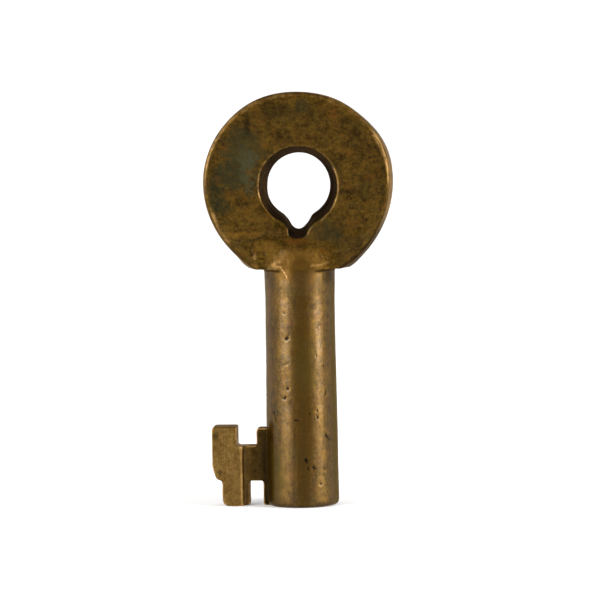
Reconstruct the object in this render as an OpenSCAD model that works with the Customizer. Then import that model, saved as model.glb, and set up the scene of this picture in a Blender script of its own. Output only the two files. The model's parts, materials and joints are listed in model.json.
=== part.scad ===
// Railroad switch key, standing on the open end of its barrel. The bow is at the
// top with its front face towards -Y, and the bit points towards -X. It is brazed
// up from a cast bow, a turned and bored barrel and a filed bit.

/* [Barrel] */
// Outside diameter of the barrel
barrel_d = 9.2; // [8.6:0.1:10.4]
// Length of the barrel, from its open end to the foot of the bow
barrel_l = 31; // [27:0.5:40]
// Diameter of the bore that slips over the post in the lock
bore_d = 5.8; // [5:0.1:6.4]
// Depth of that bore
bore_l = 24; // [16:0.5:25]
// Rounding of the outer edge at the open end
end_round = 0.6; // [0.2:0.1:0.9]
// Chamfer at the mouth of the bore
mouth_chamfer = 0.3; // [0.1:0.1:0.6]

/* [Bow] */
// Diameter of the bow at its parting line, half way through its thickness
bow_d = 24.8; // [23.8:0.2:30]
// Thickness of the bow between its flat faces
bow_t = 6.6; // [5:0.2:7.6]
// Height of the bow's centre above its foot
bow_rise = 10.5; // [9:0.1:10.8]
// How far each face draws in from the parting line at the rim
rim_draft = 0.6; // [0.2:0.1:0.8]
// Rounding of the rim's edge at each face
rim_round = 0.5; // [0.2:0.1:0.8]
// Diameter of the spigot that enters the top of the barrel
spigot_d = 4.6; // [3:0.1:4.8]

/* [Eye] */
// Diameter of the eye at its narrowest, half way through the bow
eye_d = 8.4; // [6:0.1:9]
// Height of the eye's centre above the bow's centre
eye_rise = 0.3; // [-0.4:0.1:0.8]
// Length of the straight wall at the narrowest part of the eye
eye_land = 1; // [0.6:0.1:2]
// How far the eye opens out at each face
eye_draft = 0.95; // [0.3:0.05:1.2]
// Depth of the notch below the eye's narrowest wall
notch_d = 1.3; // [1.1:0.1:2]
// How much deeper the notch is at each face
notch_draft = 1.3; // [0.3:0.1:1.4]
// Radius at the bottom of the notch
notch_tip_r = 1; // [0.6:0.1:1.2]
// Radius of the rounded mouth that the notch spreads to at the eye
notch_mouth_r = 1.75; // [1.3:0.05:2]

/* [Shoulder] */
// How far the shoulder runs up each face of the bow
shoulder_rise = 3.6; // [2.6:0.1:4.2]
// Width of the shoulder on the bow's face, at the foot
shoulder_w = 9.8; // [9:0.1:10.2]
// How far the barrel stands proud of the shoulder in the middle
shoulder_step = 0.05; // [0:0.05:0.2]

/* [Bit] */
// How far the bit reaches out from the barrel
bit_reach = 7.1; // [6.4:0.1:9]
// Height of the bit's outer lobe
bit_h = 10.4; // [9:0.1:13]
// Thickness of the bit at its outer pad
bit_t = 3.6; // [3:0.1:4.4]
// Width of the raised pad on the bit's front
pad_w = 4; // [3.3:0.1:4.2]
// Depth of the step from the pad to the web
step_d = 1.1; // [0.6:0.1:1.6]
// Width of the bevel along the inner edge of the pad
bevel_w = 0.45; // [0.2:0.05:0.6]
// Depth of that bevel
bevel_d = 0.25; // [0.1:0.05:0.4]
// How far the root's top lies below the outer lobe's
root_drop = 0.3; // [0:0.1:1]
// Width of the root between the barrel and the upper ward cut
root_w = 1.35; // [1:0.05:1.6]
// Width of the upper ward cut
upper_cut_w = 2.5; // [1.6:0.1:3]
// Depth of the upper ward cut, from the outer lobe's top
upper_cut_d = 2.6; // [1.6:0.1:3.2]
// Width of the root between the barrel and the lower ward cut
lower_root_w = 0.55; // [0.4:0.05:0.9]
// Width of the lower ward cut
lower_cut_w = 1.8; // [1:0.1:2]
// Depth of the lower ward cut, from the bit's bottom
lower_cut_d = 3.2; // [2:0.1:4]
// Width of the cut at the bit's lower outer corner
corner_cut_w = 1.25; // [0.8:0.05:1.6]
// Height of the cut at the bit's lower outer corner
corner_cut_h = 3.4; // [2:0.1:4]
// How far the heel above that cut slants in at its bottom
heel_w = 0.45; // [0.2:0.05:0.6]
// Height of the slant at the heel
heel_h = 1.8; // [1:0.1:3]
// Rounding of the bit's outer corners
corner_round = 0.4; // [0.2:0.05:0.6]
// Rounding of the toe below the corner cut
toe_round = 0.7; // [0.4:0.1:1.2]
// Rounding inside the ward cuts
cut_round = 0.2; // [0.1:0.05:0.3]
// Depth of the bit's seat in the barrel wall
seat_d = 1; // [0.6:0.1:1.1]

/* [Brazing] */
// Gap that the brazing metal fills round the spigot and the bit's tenon
braze_gap = 0.05; // [0.02:0.01:0.1]
// Leg of the fillet between the bow's foot and the barrel
bow_fillet = 0.5; // [0.2:0.05:0.7]
// Radius of the fillet along the bit's root
root_fillet = 0.3; // [0.15:0.05:0.35]

/* [Hidden] */
$fn = 96;

// Facets in a hull's circles, and straight steps in a rounded corner
hull_fn = 32;
arc_steps = 6;
// How far a cutter reaches past the surface that it cuts, and a cap into its face
cut_over = 0.5;
cap_sink = 0.3;

barrel_r = barrel_d / 2;
bore_r = bore_d / 2;
spigot_r = spigot_d / 2;
socket_r = spigot_r + braze_gap;

bow_r = bow_d / 2;
bow_z = barrel_l + bow_rise;
face_y = bow_t / 2;

eye_r = eye_d / 2;
eye_z = bow_z + eye_rise;
eye_slope = eye_draft / (face_y - eye_land / 2);

// Each shoulder cap is part of a sphere. It meets the bow's face in an arc that
// passes the shoulder's top and both its ends at the foot, and it stands as far
// out as the barrel in the middle of the foot.
shoulder_y = barrel_r - shoulder_step;
face_arc_r = (pow(shoulder_w / 2, 2) + pow(shoulder_rise, 2)) / (2 * shoulder_rise);
cap_drop = face_arc_r - shoulder_rise;
cap_back = (pow(face_arc_r, 2) - pow(cap_drop, 2) + pow(face_y, 2) - pow(shoulder_y, 2))
    / (2 * (shoulder_y - face_y));
cap_r = norm([face_y + cap_back, face_arc_r]);
// The fillet under the foot ends where the shoulder no longer overhangs it
fillet_r = barrel_r + bow_fillet;
fillet_y = (pow(cap_r, 2) - pow(cap_back, 2) - pow(cap_drop, 2) - pow(fillet_r, 2)) / (2 * cap_back);

bit_x = -(barrel_r + bit_reach);
bit_front = -bit_t / 2;
bit_back = bit_t / 2;
web_front = bit_front + step_d;
step_x = bit_x + pad_w;
root_h = bit_h - root_drop;
seat_x = -(barrel_r - seat_d);

function unit(v) = v / norm(v);

// The angle, turned by a whole turn if need be, so that it lies within half a turn
function short_way(angle) = angle > 180 ? angle - 360 : angle < -180 ? angle + 360 : angle;

// Points of an arc about a centre, the short way from one point to another
function arc(centre, from, to) =
    let (
        r = norm(from - centre),
        start = atan2(from.y - centre.y, from.x - centre.x),
        end = atan2(to.y - centre.y, to.x - centre.x),
        turn = short_way(end - start)
    )
    [for (i = [0 : arc_steps])
        let (angle = start + turn * i / arc_steps)
        centre + r * [cos(angle), sin(angle)]];

// Points of the arc that rounds the corner b between its neighbours a and c
function corner(a, b, c, r) =
    let (
        to_a = unit(a - b),
        to_c = unit(c - b),
        half = acos(to_a * to_c) / 2,
        centre = b + unit(to_a + to_c) * r / sin(half),
        reach = r / tan(half)
    )
    arc(centre, b + to_a * reach, b + to_c * reach);

function point(row) = [row[0], row[1]];

// An outline from rows of [x, y, r], each corner rounded to its own radius r
function rounded(rows) =
    let (n = len(rows))
    [for (i = [0 : n - 1])
        let (a = point(rows[(i + n - 1) % n]), b = point(rows[i]), c = point(rows[(i + 1) % n]))
        each rows[i][2] == 0 ? [b] : corner(a, b, c, rows[i][2])];

// Turns a flat shape drawn in X and Z to stand up, centred on the plane Y = 0
module upright(thickness) {
    rotate([90, 0, 0])
        linear_extrude(thickness, center = true)
            children();
}

// A body turned about the bow's own axis, which runs along Y at height z
module across(z) {
    translate([0, 0, z])
        rotate([90, 0, 0])
            rotate_extrude()
                children();
}

// The drafted disc, with its parting line half way through
module disc() {
    across(bow_z)
        polygon(rounded([
            [0, -face_y, 0],
            [bow_r - rim_draft, -face_y, rim_round],
            [bow_r, 0, 0],
            [bow_r - rim_draft, face_y, rim_round],
            [0, face_y, 0]
        ]));
}

// The swelling that brings a face of the bow out to the barrel
module shoulder_cap(side) {
    intersection() {
        translate([0, -side * cap_back, barrel_l - cap_drop])
            sphere(cap_r);
        translate([0, side * (face_y - cap_sink + bow_r), bow_z])
            cube(bow_d, center = true);
    }
}

// The eye's round wall: straight in the middle, opening out to both faces
module eye_cutter() {
    outer_y = face_y + cut_over;
    outer_r = eye_r + eye_draft + cut_over * eye_slope;
    across(eye_z)
        polygon([
            [0, -outer_y],
            [outer_r, -outer_y],
            [eye_r, -eye_land / 2],
            [eye_r, eye_land / 2],
            [outer_r, outer_y],
            [0, outer_y]
        ]);
}

// The notch's outline below an eye of radius r, as two circles to hull
module notch_circles(r, depth) {
    translate([0, eye_z - r - depth + notch_tip_r])
        circle(notch_tip_r, $fn = hull_fn);
    translate([0, eye_z - r + notch_mouth_r / 2])
        circle(notch_mouth_r, $fn = hull_fn);
}

// The half of the notch that opens out to one face
module notch_cutter(side) {
    face_deepening = notch_draft - eye_draft;
    hull() {
        upright(eye_land)
            notch_circles(eye_r, notch_d);
        translate([0, side * (face_y + cut_over / 2), 0])
            upright(cut_over)
                notch_circles(eye_r + eye_draft, notch_d + face_deepening);
    }
}

module bow() {
    color([0.42, 0.31, 0.15])
        difference() {
            union() {
                intersection() {
                    union() {
                        disc();
                        for (side = [-1, 1])
                            shoulder_cap(side);
                    }
                    translate([-bow_d, -bow_d, barrel_l])
                        cube(2 * bow_d);
                }
                translate([0, 0, bore_l])
                    cylinder(h = barrel_l - bore_l + cap_sink, r = spigot_r);
            }
            eye_cutter();
            for (side = [-1, 1])
                notch_cutter(side);
        }
}

// The seat milled into the barrel wall for the bit's tenon, open at the end
module bit_seat() {
    seat_t = bit_back - web_front + 2 * braze_gap;
    translate([seat_x - barrel_r, web_front - braze_gap, -cut_over])
        cube([barrel_r, seat_t, cut_over + root_h + braze_gap]);
}

module barrel() {
    color([0.60, 0.46, 0.27])
        difference() {
            rotate_extrude()
                polygon(rounded([
                    [bore_r + mouth_chamfer, 0, 0],
                    [barrel_r, 0, end_round],
                    [barrel_r, barrel_l, 0],
                    [socket_r, barrel_l, 0],
                    [socket_r, bore_l, 0],
                    [bore_r, bore_l, 0],
                    [bore_r, mouth_chamfer, 0]
                ]));
            bit_seat();
        }
}

// The bit's side view, from the tenon's bottom round by the ward cuts to its top
module bit_outline() {
    tenon_x = seat_x - braze_gap;
    lower_x = -(barrel_r + lower_root_w);
    upper_x = -(barrel_r + root_w);
    polygon(rounded([
        [tenon_x, 0, 0],
        [lower_x, 0, cut_round],
        [lower_x, lower_cut_d, cut_round],
        [lower_x - lower_cut_w, lower_cut_d, cut_round],
        [lower_x - lower_cut_w, 0, cut_round],
        [bit_x + corner_cut_w, 0, toe_round],
        [bit_x + corner_cut_w, corner_cut_h, cut_round],
        [bit_x + heel_w, corner_cut_h, corner_round],
        [bit_x, corner_cut_h + heel_h, corner_round],
        [bit_x, bit_h, corner_round],
        [upper_x - upper_cut_w, bit_h, cut_round],
        [upper_x - upper_cut_w, bit_h - upper_cut_d, cut_round],
        [upper_x, bit_h - upper_cut_d, cut_round],
        [upper_x, root_h, corner_round],
        [tenon_x, root_h, 0]
    ]));
}

// The bit seen from above: a thick outer pad, a bevelled step and a thinner web
module bit_section() {
    polygon([
        [bit_x - cut_over, bit_front],
        [step_x - bevel_w, bit_front],
        [step_x, bit_front + bevel_d],
        [step_x, web_front],
        [0, web_front],
        [0, bit_back],
        [bit_x - cut_over, bit_back]
    ]);
}

module bit() {
    color([0.52, 0.40, 0.22])
        intersection() {
            upright(bit_t + 2 * cut_over)
                bit_outline();
            translate([0, 0, -cut_over])
                linear_extrude(bit_h + 2 * cut_over)
                    bit_section();
        }
}

module bow_braze() {
    centre = [fillet_r, -bow_fillet];
    color([0.66, 0.52, 0.28])
        intersection() {
            translate([0, 0, barrel_l])
                rotate_extrude()
                    polygon(concat([[barrel_r, 0]], arc(centre, [fillet_r, 0], [barrel_r, -bow_fillet])));
            translate([-bow_d, -fillet_y, 0])
                cube([2 * bow_d, 2 * fillet_y, barrel_l]);
        }
}

// One fillet's section, between the barrel and the bit's wall at wall_y
module root_section(wall_y, side) {
    centre_y = wall_y + side * root_fillet;
    reach = barrel_r + root_fillet;
    centre = [-sqrt(pow(reach, 2) - pow(centre_y, 2)), centre_y];
    on_bit = [centre.x, wall_y];
    on_barrel = centre * barrel_r / reach;
    difference() {
        polygon(concat([[seat_x, wall_y]], arc(centre, on_bit, on_barrel)));
        circle(barrel_r);
    }
}

module bit_braze() {
    color([0.50, 0.38, 0.20])
        translate([0, 0, end_round])
            linear_extrude(root_h - corner_round - end_round) {
                root_section(web_front, -1);
                root_section(bit_back, 1);
            }
}

bow();
barrel();
bit();
bow_braze();
bit_braze();
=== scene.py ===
# %% [markdown]
# # A worn railroad switch key
# A switch key opens the padlocks along a railway line. This one is brass: a round bow
# to hold, a hollow barrel that slips over the lock's post, and a small stepped bit.
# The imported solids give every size. This lesson copies them, wears them down as a
# century of pockets would, and paints them with aged brass made from nodes alone.

import json
import math

import bmesh
import bpy
import numpy as np
from mathutils import Matrix, Quaternion, Vector, noise


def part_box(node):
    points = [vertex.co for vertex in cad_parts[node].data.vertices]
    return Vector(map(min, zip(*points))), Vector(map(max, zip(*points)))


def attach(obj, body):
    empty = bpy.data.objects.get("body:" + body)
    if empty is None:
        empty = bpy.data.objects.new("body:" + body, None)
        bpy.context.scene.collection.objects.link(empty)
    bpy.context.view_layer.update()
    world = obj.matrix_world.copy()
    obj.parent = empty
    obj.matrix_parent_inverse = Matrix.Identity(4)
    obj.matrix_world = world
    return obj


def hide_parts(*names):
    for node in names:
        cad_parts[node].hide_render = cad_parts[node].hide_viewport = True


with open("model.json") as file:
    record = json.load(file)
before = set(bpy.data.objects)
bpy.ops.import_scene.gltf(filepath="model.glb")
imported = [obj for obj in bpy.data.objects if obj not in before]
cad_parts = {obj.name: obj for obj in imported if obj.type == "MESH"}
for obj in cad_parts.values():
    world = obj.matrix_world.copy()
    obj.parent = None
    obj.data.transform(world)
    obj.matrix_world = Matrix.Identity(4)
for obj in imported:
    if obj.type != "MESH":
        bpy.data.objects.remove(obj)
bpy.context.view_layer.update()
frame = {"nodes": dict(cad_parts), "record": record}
scene = bpy.context.scene
scene.view_settings.view_transform = "Standard"

# %% [markdown]
# ## The sizes that drive the rest
# The lesson asks the frame for the few sizes that everything else hangs on, so nothing
# is measured twice. They could be typed in, but then they wouldn't follow the solids.
# The solids have flat facets, so a round size comes out a hair short, and each value
# is rounded to the size that was drawn. All values for shapes are in millimetres.

# %% Driving sizes
MM = 0.001
PER_MM = 1 / MM
BOW_HALF = 3.3

bow_corner, barrel_corner = (Vector(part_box(node)[1]) * PER_MM for node in ("bow", "barrel"))
mounts = {mount["name"]: mount for mount in frame["record"]["mounts"]}
JOINT_HEIGHT, BARREL_RADIUS = round(barrel_corner.z, 1), round(barrel_corner.x, 1)
BOW_HEIGHT = round(bow_corner.z - bow_corner.x, 1)
DOME_RISE = round(bow_corner.y - BOW_HALF, 2)
EYE_HEIGHT = round(mounts["ring_eye"]["pos_m"][2] * PER_MM, 1)
print("joint:", JOINT_HEIGHT, "barrel radius:", BARREL_RADIUS, "dome rise:", DOME_RISE)
print("middle of the bow:", BOW_HEIGHT, "middle of the eye:", EYE_HEIGHT)

# %% [markdown]
# ## The camera
# The photograph was taken with a long lens from a little above and a little to the
# right, so the right side of the bow's rim shows more than the left. A camera can be
# placed by hand, but here it is worked out from a few measured values: how many
# millimetres one pixel covers, which point of the key is in the middle of the
# picture, and how far the key leans in it.

# %% Camera
PHOTO_PIXELS, MM_PER_PIXEL = 600, 0.1302
CAMERA_DISTANCE = 700 * MM
CAMERA_ABOVE, CAMERA_RIGHT = math.radians(4.8), math.radians(4.0)
KEY_LEAN = math.radians(0.95)
PICTURE_MIDDLE = Vector((0, 0, 26.76)) * MM
CLIP_NEAR, CLIP_FAR = 0.05, 20


def direction(azimuth, elevation):
    """The way from the key to a point seen at these angles; azimuth 0 is the front."""
    level = math.cos(elevation)
    return Vector((math.sin(azimuth) * level, -math.cos(azimuth) * level, math.sin(elevation)))


camera = bpy.data.objects.new("camera", bpy.data.cameras.new("camera"))
scene.collection.objects.link(camera)
to_camera = direction(CAMERA_RIGHT, CAMERA_ABOVE)
camera.location = PICTURE_MIDDLE + to_camera * CAMERA_DISTANCE
camera.rotation_mode = "QUATERNION"
lean = Quaternion((0, 0, 1), -KEY_LEAN)
camera.rotation_quaternion = (-to_camera).to_track_quat("-Z", "Y") @ lean
picture_width = PHOTO_PIXELS * MM_PER_PIXEL * MM
camera.data.lens = camera.data.sensor_width * CAMERA_DISTANCE / picture_width
camera.data.clip_start, camera.data.clip_end = CLIP_NEAR, CLIP_FAR
scene.camera = camera
print("lens in mm:", round(camera.data.lens, 1))

# %% [markdown]
# ## Small helpers for nodes
# Every finish below is a chain of shader nodes. Writing each node and each link on a
# line of its own makes long scripts, so one helper adds a node and fills its inputs:
# a plain value is typed in, and another node's output is linked.

# %% Node helpers
def feed(tree, socket, value):
    """Types a plain value into a node's input, or links another node's output to it."""
    if isinstance(value, bpy.types.NodeSocket):
        tree.links.new(value, socket)
    else:
        socket.default_value = value


def put(tree, kind, inputs=None, **settings):
    """Adds a shader node, sets its properties, and fills or links its inputs."""
    made = tree.nodes.new("ShaderNode" + kind)
    for name, value in settings.items():
        setattr(made, name, value)
    for key, value in (inputs or {}).items():
        feed(tree, made.inputs[key], value)
    return made


def math_node(tree, operation, a, b=0.0):
    """One Math node, clamped to 0 to 1, and its result."""
    return put(tree, "Math", {0: a, 1: b}, operation=operation, use_clamp=True).outputs[0]


def weighed_sum(tree, start, *pairs):
    """A start value plus other values, each times its weight."""
    for value, weight in pairs:
        made = put(tree, "Math", {0: value, 1: weight, 2: start}, operation="MULTIPLY_ADD")
        start = made.outputs[0]
    return start


def steps(tree, value, low, high):
    """A soft switch: 0 below low, 1 above high, and smooth between them."""
    made = put(tree, "MapRange", {"Value": value, "From Min": low, "From Max": high},
               interpolation_type="SMOOTHSTEP")
    return made.outputs["Result"]


def tint(tree, amount, below, above):
    """One colour over another, by a mask."""
    made = put(tree, "Mix", {"Factor": amount}, data_type="RGBA")
    sockets = {socket.identifier: socket for socket in (*made.inputs, *made.outputs)}
    feed(tree, sockets["A_Color"], below)
    feed(tree, sockets["B_Color"], above)
    return sockets["Result_Color"]


def srgb(red, green, blue):
    """A colour as a picture program shows it, from 0 to 255, turned into linear light."""
    def linear(value):
        share = value / 255
        return share / 12.92 if share <= 0.04045 else ((share + 0.055) / 1.055) ** 2.4
    return (linear(red), linear(green), linear(blue), 1.0)


print("node helpers ready")

# %% [markdown]
# ## The room: world, lamps and floor
# Bare metal looks like what stands around it, so the room matters as much as the
# finish. The walls are pale behind the key and darker in front of it, where the
# camera stands. One even colour all round would be simpler, but it would make the
# metal look flat.

# %% World
FRONT_LEVEL, BACK_LEVEL = 0.20, 0.95
FRONT_WAY, BACK_WAY = -0.8, 0.25

world = bpy.data.worlds.new("pale room")
scene.world = world
world.use_nodes = True
tree = world.node_tree
tree.nodes.clear()
way = put(tree, "SeparateXYZ", {0: put(tree, "TexCoord").outputs["Generated"]})
level = put(tree, "MapRange", {"Value": way.outputs["Y"], "From Min": FRONT_WAY, "From Max": BACK_WAY,
                               "To Min": FRONT_LEVEL, "To Max": BACK_LEVEL})
background = put(tree, "Background", {"Strength": level.outputs["Result"], "Color": (1, 1, 1, 1)})
put(tree, "OutputWorld", {"Surface": background.outputs[0]})
print("walls from", FRONT_LEVEL, "in front to", BACK_LEVEL, "behind")

# %% [markdown]
# Two tall soft boxes, left and right of the camera, give the two upright bands of
# light on the barrel. A grid in front of each keeps part of its light off the floor,
# which would otherwise light the key from below.

# %% Lamps
SOFTBOX_AWAY, SOFTBOX_HEIGHT = 450 * MM, 620 * MM
SOFTBOX_LIFT = math.radians(4)
GRID_SPREAD, GRID_GAIN = math.radians(115), 2.77
SOFTBOXES = (("left softbox", -50, 250 * MM, 11.3), ("right softbox", 65, 165 * MM, 19.5))


def softbox(name, azimuth_degrees, width, brightness):
    """A tall area lamp that faces the key; brightness 1 looks as bright as white paper."""
    lamp = bpy.data.lights.new(name, "AREA")
    lamp.shape = "RECTANGLE"
    lamp.size, lamp.size_y = width, SOFTBOX_HEIGHT
    lamp.spread = GRID_SPREAD
    lamp.energy = brightness / GRID_GAIN * math.pi * width * SOFTBOX_HEIGHT
    holder = bpy.data.objects.new(name, lamp)
    scene.collection.objects.link(holder)
    outward = direction(math.radians(azimuth_degrees), SOFTBOX_LIFT)
    holder.location = PICTURE_MIDDLE + outward * SOFTBOX_AWAY
    holder.rotation_euler = outward.to_track_quat("Z", "Y").to_euler()
    return holder


lamps = [softbox(*row) for row in SOFTBOXES]
print("lamps:", [lamp.name for lamp in lamps])

# %% [markdown]
# The floor is a plain pale sheet. More lamps could make it white, but they would light
# the key as well. Instead it glows a little, and only for rays that come from the
# camera or off the metal, so it keeps the key's shadow and lights nothing.

# %% Floor
FLOOR_RADIUS, FLOOR_CORNERS = 4.0, 96


def placed(name, shape):
    """Turns a finished shape into an object of the scene."""
    mesh = bpy.data.meshes.new(name)
    shape.to_mesh(mesh)
    shape.free()
    made = bpy.data.objects.new(name, mesh)
    scene.collection.objects.link(made)
    return made


shape = bmesh.new()
bmesh.ops.create_circle(shape, cap_ends=True, segments=FLOOR_CORNERS, radius=FLOOR_RADIUS)
floor = placed("floor", shape)
print("floor radius in metres:", FLOOR_RADIUS)

# %% Paper on the floor
PAPER_SHADE, PAPER_ROUGHNESS, PAPER_GLOSS = 0.86, 0.9, 0.1
NEAR_GLOW, FAR_GLOW, FAR_AWAY = 0.18, 0.46, 0.6

paper = bpy.data.materials.new("pale paper")
paper.use_nodes = True
tree = paper.node_tree
sheet = tree.nodes["Principled BSDF"]
sheet.inputs["Base Color"].default_value = (PAPER_SHADE, PAPER_SHADE, PAPER_SHADE, 1)
sheet.inputs["Roughness"].default_value = PAPER_ROUGHNESS
sheet.inputs["Specular IOR Level"].default_value = PAPER_GLOSS
rays = put(tree, "LightPath").outputs
seen = math_node(tree, "ADD", math_node(tree, "ADD", rays["Is Camera Ray"], rays["Is Glossy Ray"]),
                 rays["Is Transmission Ray"])
spot = put(tree, "TexCoord").outputs["Object"]
away = put(tree, "VectorMath", {0: spot}, operation="LENGTH").outputs["Value"]
glow = put(tree, "MapRange", {"Value": away, "From Min": 0, "From Max": FAR_AWAY,
                              "To Min": NEAR_GLOW, "To Max": FAR_GLOW})
sheet.inputs["Emission Color"].default_value = (1, 1, 1, 1)
shown_glow = math_node(tree, "MULTIPLY", seen, glow.outputs["Result"])
tree.links.new(shown_glow, sheet.inputs["Emission Strength"])
floor.data.materials.append(paper)
print("paper glows from", NEAR_GLOW, "at the key to", FAR_GLOW)

# %% [markdown]
# ## From crisp solids to worn metal
# A CAD solid has perfect edges and long thin triangles, and neither can be worn down.
# A voxel remesh turns it into small even quads, and smoothing those rounds every edge
# as handling does. Beveling the CAD mesh would be lighter, but its slivers break a
# bevel. The bow and the barrel are worn as one skin, because the metal runs on over
# their joint.

# %% Copy, remesh and smooth
WELD_GAP, SMOOTH_SHARE = 0.001, 0.5
BODY_VOXEL, BIT_VOXEL, BRAZE_VOXEL = 0.15, 0.10, 0.06
BODY_ROUNDS, BIT_ROUNDS, BRAZE_ROUNDS = 8, 5, 3


def apply_modifiers(piece):
    """Keeps what the modifiers show as the piece's own mesh."""
    shown = piece.evaluated_get(bpy.context.evaluated_depsgraph_get())
    worn = bpy.data.meshes.new_from_object(shown)
    piece.modifiers.clear()
    piece.data = worn


def worn_copy(name, nodes, voxel, rounds):
    """A copy of CAD nodes as one skin of even quads, in millimetres, with soft edges."""
    shape = bmesh.new()
    for node in nodes:
        shape.from_mesh(frame["nodes"][node].data)
    bmesh.ops.scale(shape, vec=(PER_MM, PER_MM, PER_MM), verts=shape.verts)
    bmesh.ops.remove_doubles(shape, verts=shape.verts, dist=WELD_GAP)
    piece = placed(name, shape)
    quads = piece.modifiers.new("even quads", "REMESH")
    quads.mode, quads.voxel_size = "VOXEL", voxel
    wear = piece.modifiers.new("handling", "SMOOTH")
    wear.factor, wear.iterations = SMOOTH_SHARE, rounds
    apply_modifiers(piece)
    print(name, "has", len(piece.data.polygons), "quads")
    return piece


body = worn_copy("body", ["bow", "barrel"], BODY_VOXEL, BODY_ROUNDS)
bit = worn_copy("bit", ["bit"], BIT_VOXEL, BIT_ROUNDS)
bow_braze = worn_copy("bow_braze", ["bow_braze"], BRAZE_VOXEL, BRAZE_ROUNDS)
bit_braze = worn_copy("bit_braze", ["bit_braze"], BRAZE_VOXEL, BRAZE_ROUNDS)

# %% [markdown]
# ## Reading and moving many points at once
# Blender keeps a mesh's points in one long list. NumPy can take the whole list, move
# every point in a single sum, and give it back, which is far quicker than a loop.
# Where a change applies is a mask: a number from 0 to 1 for each point.

# %% Point helpers
def points_of(piece):
    """The piece's points and their normals, as two arrays of rows."""
    count = len(piece.data.vertices)
    places, ways = np.zeros(count * 3, np.float32), np.zeros(count * 3, np.float32)
    piece.data.vertices.foreach_get("co", places)
    piece.data.vertices.foreach_get("normal", ways)
    return places.reshape(-1, 3).astype(float), ways.reshape(-1, 3).astype(float)


def move_points(piece, places):
    """Gives the piece its points back, where they are now."""
    piece.data.vertices.foreach_set("co", places.astype(np.float32).ravel())
    piece.data.update()


def neighbour_mean(piece, values):
    """For each point, the mean of a value, or of a row of values, over its neighbours."""
    edges = np.zeros(len(piece.data.edges) * 2, np.int32)
    piece.data.edges.foreach_get("vertices", edges)
    first, second = edges.reshape(-1, 2).T
    table = np.atleast_2d(values.T)
    count = table.shape[1]
    share = np.bincount(first, minlength=count) + np.bincount(second, minlength=count)
    sums = [np.bincount(first, row[second], count) + np.bincount(second, row[first], count)
            for row in table]
    return (np.array(sums) / np.maximum(share, 1)).T.reshape(values.shape)


def soften(piece, places, mask, rounds):
    """Smooths only where the mask is above 0."""
    for _ in range(rounds):
        places += SMOOTH_SHARE * mask[:, None] * (neighbour_mean(piece, places) - places)


print("point helpers ready")

# %% Mask helpers
def ramp(values, low, high):
    """0 below low, 1 above high, and a smooth rise between them."""
    share = np.clip((values - low) / (high - low), 0, 1)
    return share * share * (3 - 2 * share)


def fade(values, low, high):
    """1 below low, 0 above high, and a smooth fall between them."""
    return ramp(-values, -high, -low)


def near(gap, width):
    """1 where the gap is 0, falling softly to almost 0 at twice the width."""
    return np.exp(-(gap / width) ** 2)


def from_line(places, start, end):
    """How far each point is from the straight line between two spots."""
    start, end = np.array(start, float), np.array(end, float)
    run = end - start
    share = np.clip((places - start) @ run / max(run @ run, 1e-9), 0, 1)
    return np.linalg.norm(places - start - share[:, None] * run, axis=1)


def ripple(places, size, seed, octaves=3):
    """Soft noise of about -1 to 1 over the points, with bumps about size millimetres wide."""
    shift = Vector((seed * 17.3, seed * 5.1, seed * 11.7))
    return np.array([noise.fractal(Vector(p) / size + shift, 1.0, 2.0, octaves) for p in places])


print("mask helpers ready")

# %% [markdown]
# ## The neck
# The dome under the eye was cast. It widens like a bell towards the crease, its cheeks
# there are rounder than the plain solid's, and two low feet spread from it to the
# sides. The solid could carry this, but it is this one casting's own shape, so it is
# pressed into the points. A foot is a row of its place across, its spread and height.

# %% Shape the dome
SOLID_BEND, WORN_BEND, BELL_TAPER, BELL_TOP = 10.2, 7.4, 1.2, 3.5
LEAST_BULGE, JOINT_CLEAR = 0.01, 0.02
DOME_FEET = ((-4.9, 1.2, 0.26), (4.4, 0.9, 0.20))
FEET_FADE, FACE_SKIN = (31.8, 34.0), (2.4, 3.0)


def bulge(across, radius):
    """How far an arc of this radius stands out of the bow's face, at a place across it."""
    across = np.minimum(np.abs(across), radius)
    return np.maximum(np.sqrt(radius ** 2 - across ** 2) - (radius - DOME_RISE), 0.0)


places, ways = points_of(body)
x, y, z = places.T
on_bow = z > JOINT_HEIGHT + JOINT_CLEAR
standing = np.maximum(np.abs(y) - BOW_HALF, 0) * on_bow
worn_bend = WORN_BEND - BELL_TAPER * np.clip(z - JOINT_HEIGHT, 0, BELL_TOP)
rounder = np.clip(bulge(x, worn_bend) / np.maximum(bulge(x, SOLID_BEND), LEAST_BULGE), 0, 1)
places[:, 1] -= np.sign(y) * standing * (1 - rounder)
on_faces = ramp(np.abs(y), *FACE_SKIN)
for middle, spread, height in DOME_FEET:
    foot = height * near(x - middle, spread) * fade(z, *FEET_FADE)
    places[:, 1] += np.sign(y) * foot * on_faces * on_bow
print("points on the dome:", int((standing > 0).sum()))

# %% [markdown]
# The dome runs into the bow's face in a soft hollow and not along a line, and its
# middle runs straight on into the barrel. The corners where the notch meets the eye
# are rounded, the foot of the notch opens out towards both faces, and the eye's lip
# sits a little to the right. Smoothing the whole neck would fill the two creases under
# the dome, so masks keep it away from them.

# %% Soften the neck and the eye
NECK_ROUNDS, MIDDLE_ROUNDS, MOUTH_ROUNDS = 80, 60, 30
ABOVE_CREASE, NECK_TOP = (31.15, 31.9), (35.5, 38.0)
NOTCH_FOOT, NOTCH_SIDES = (34.0, 35.0), (1.8, 2.6)
MIDDLE_SIDES, MIDDLE_LOW, MIDDLE_HIGH = (1.6, 2.6), (29.0, 30.2), (32.2, 33.4)
MOUTH_SIDE, MOUTH_HEIGHT = 2.1, 37.7
NOTCH_HEIGHT, NOTCH_SPREAD, NOTCH_WIDER = 35.2, 0.8, 0.3
NECK_LUMPS, LUMP_SIZE = 0.08, 1.7
EYE_SHIFT, SHIFT_FADE = 0.20, (5.2, 6.8)

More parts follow.
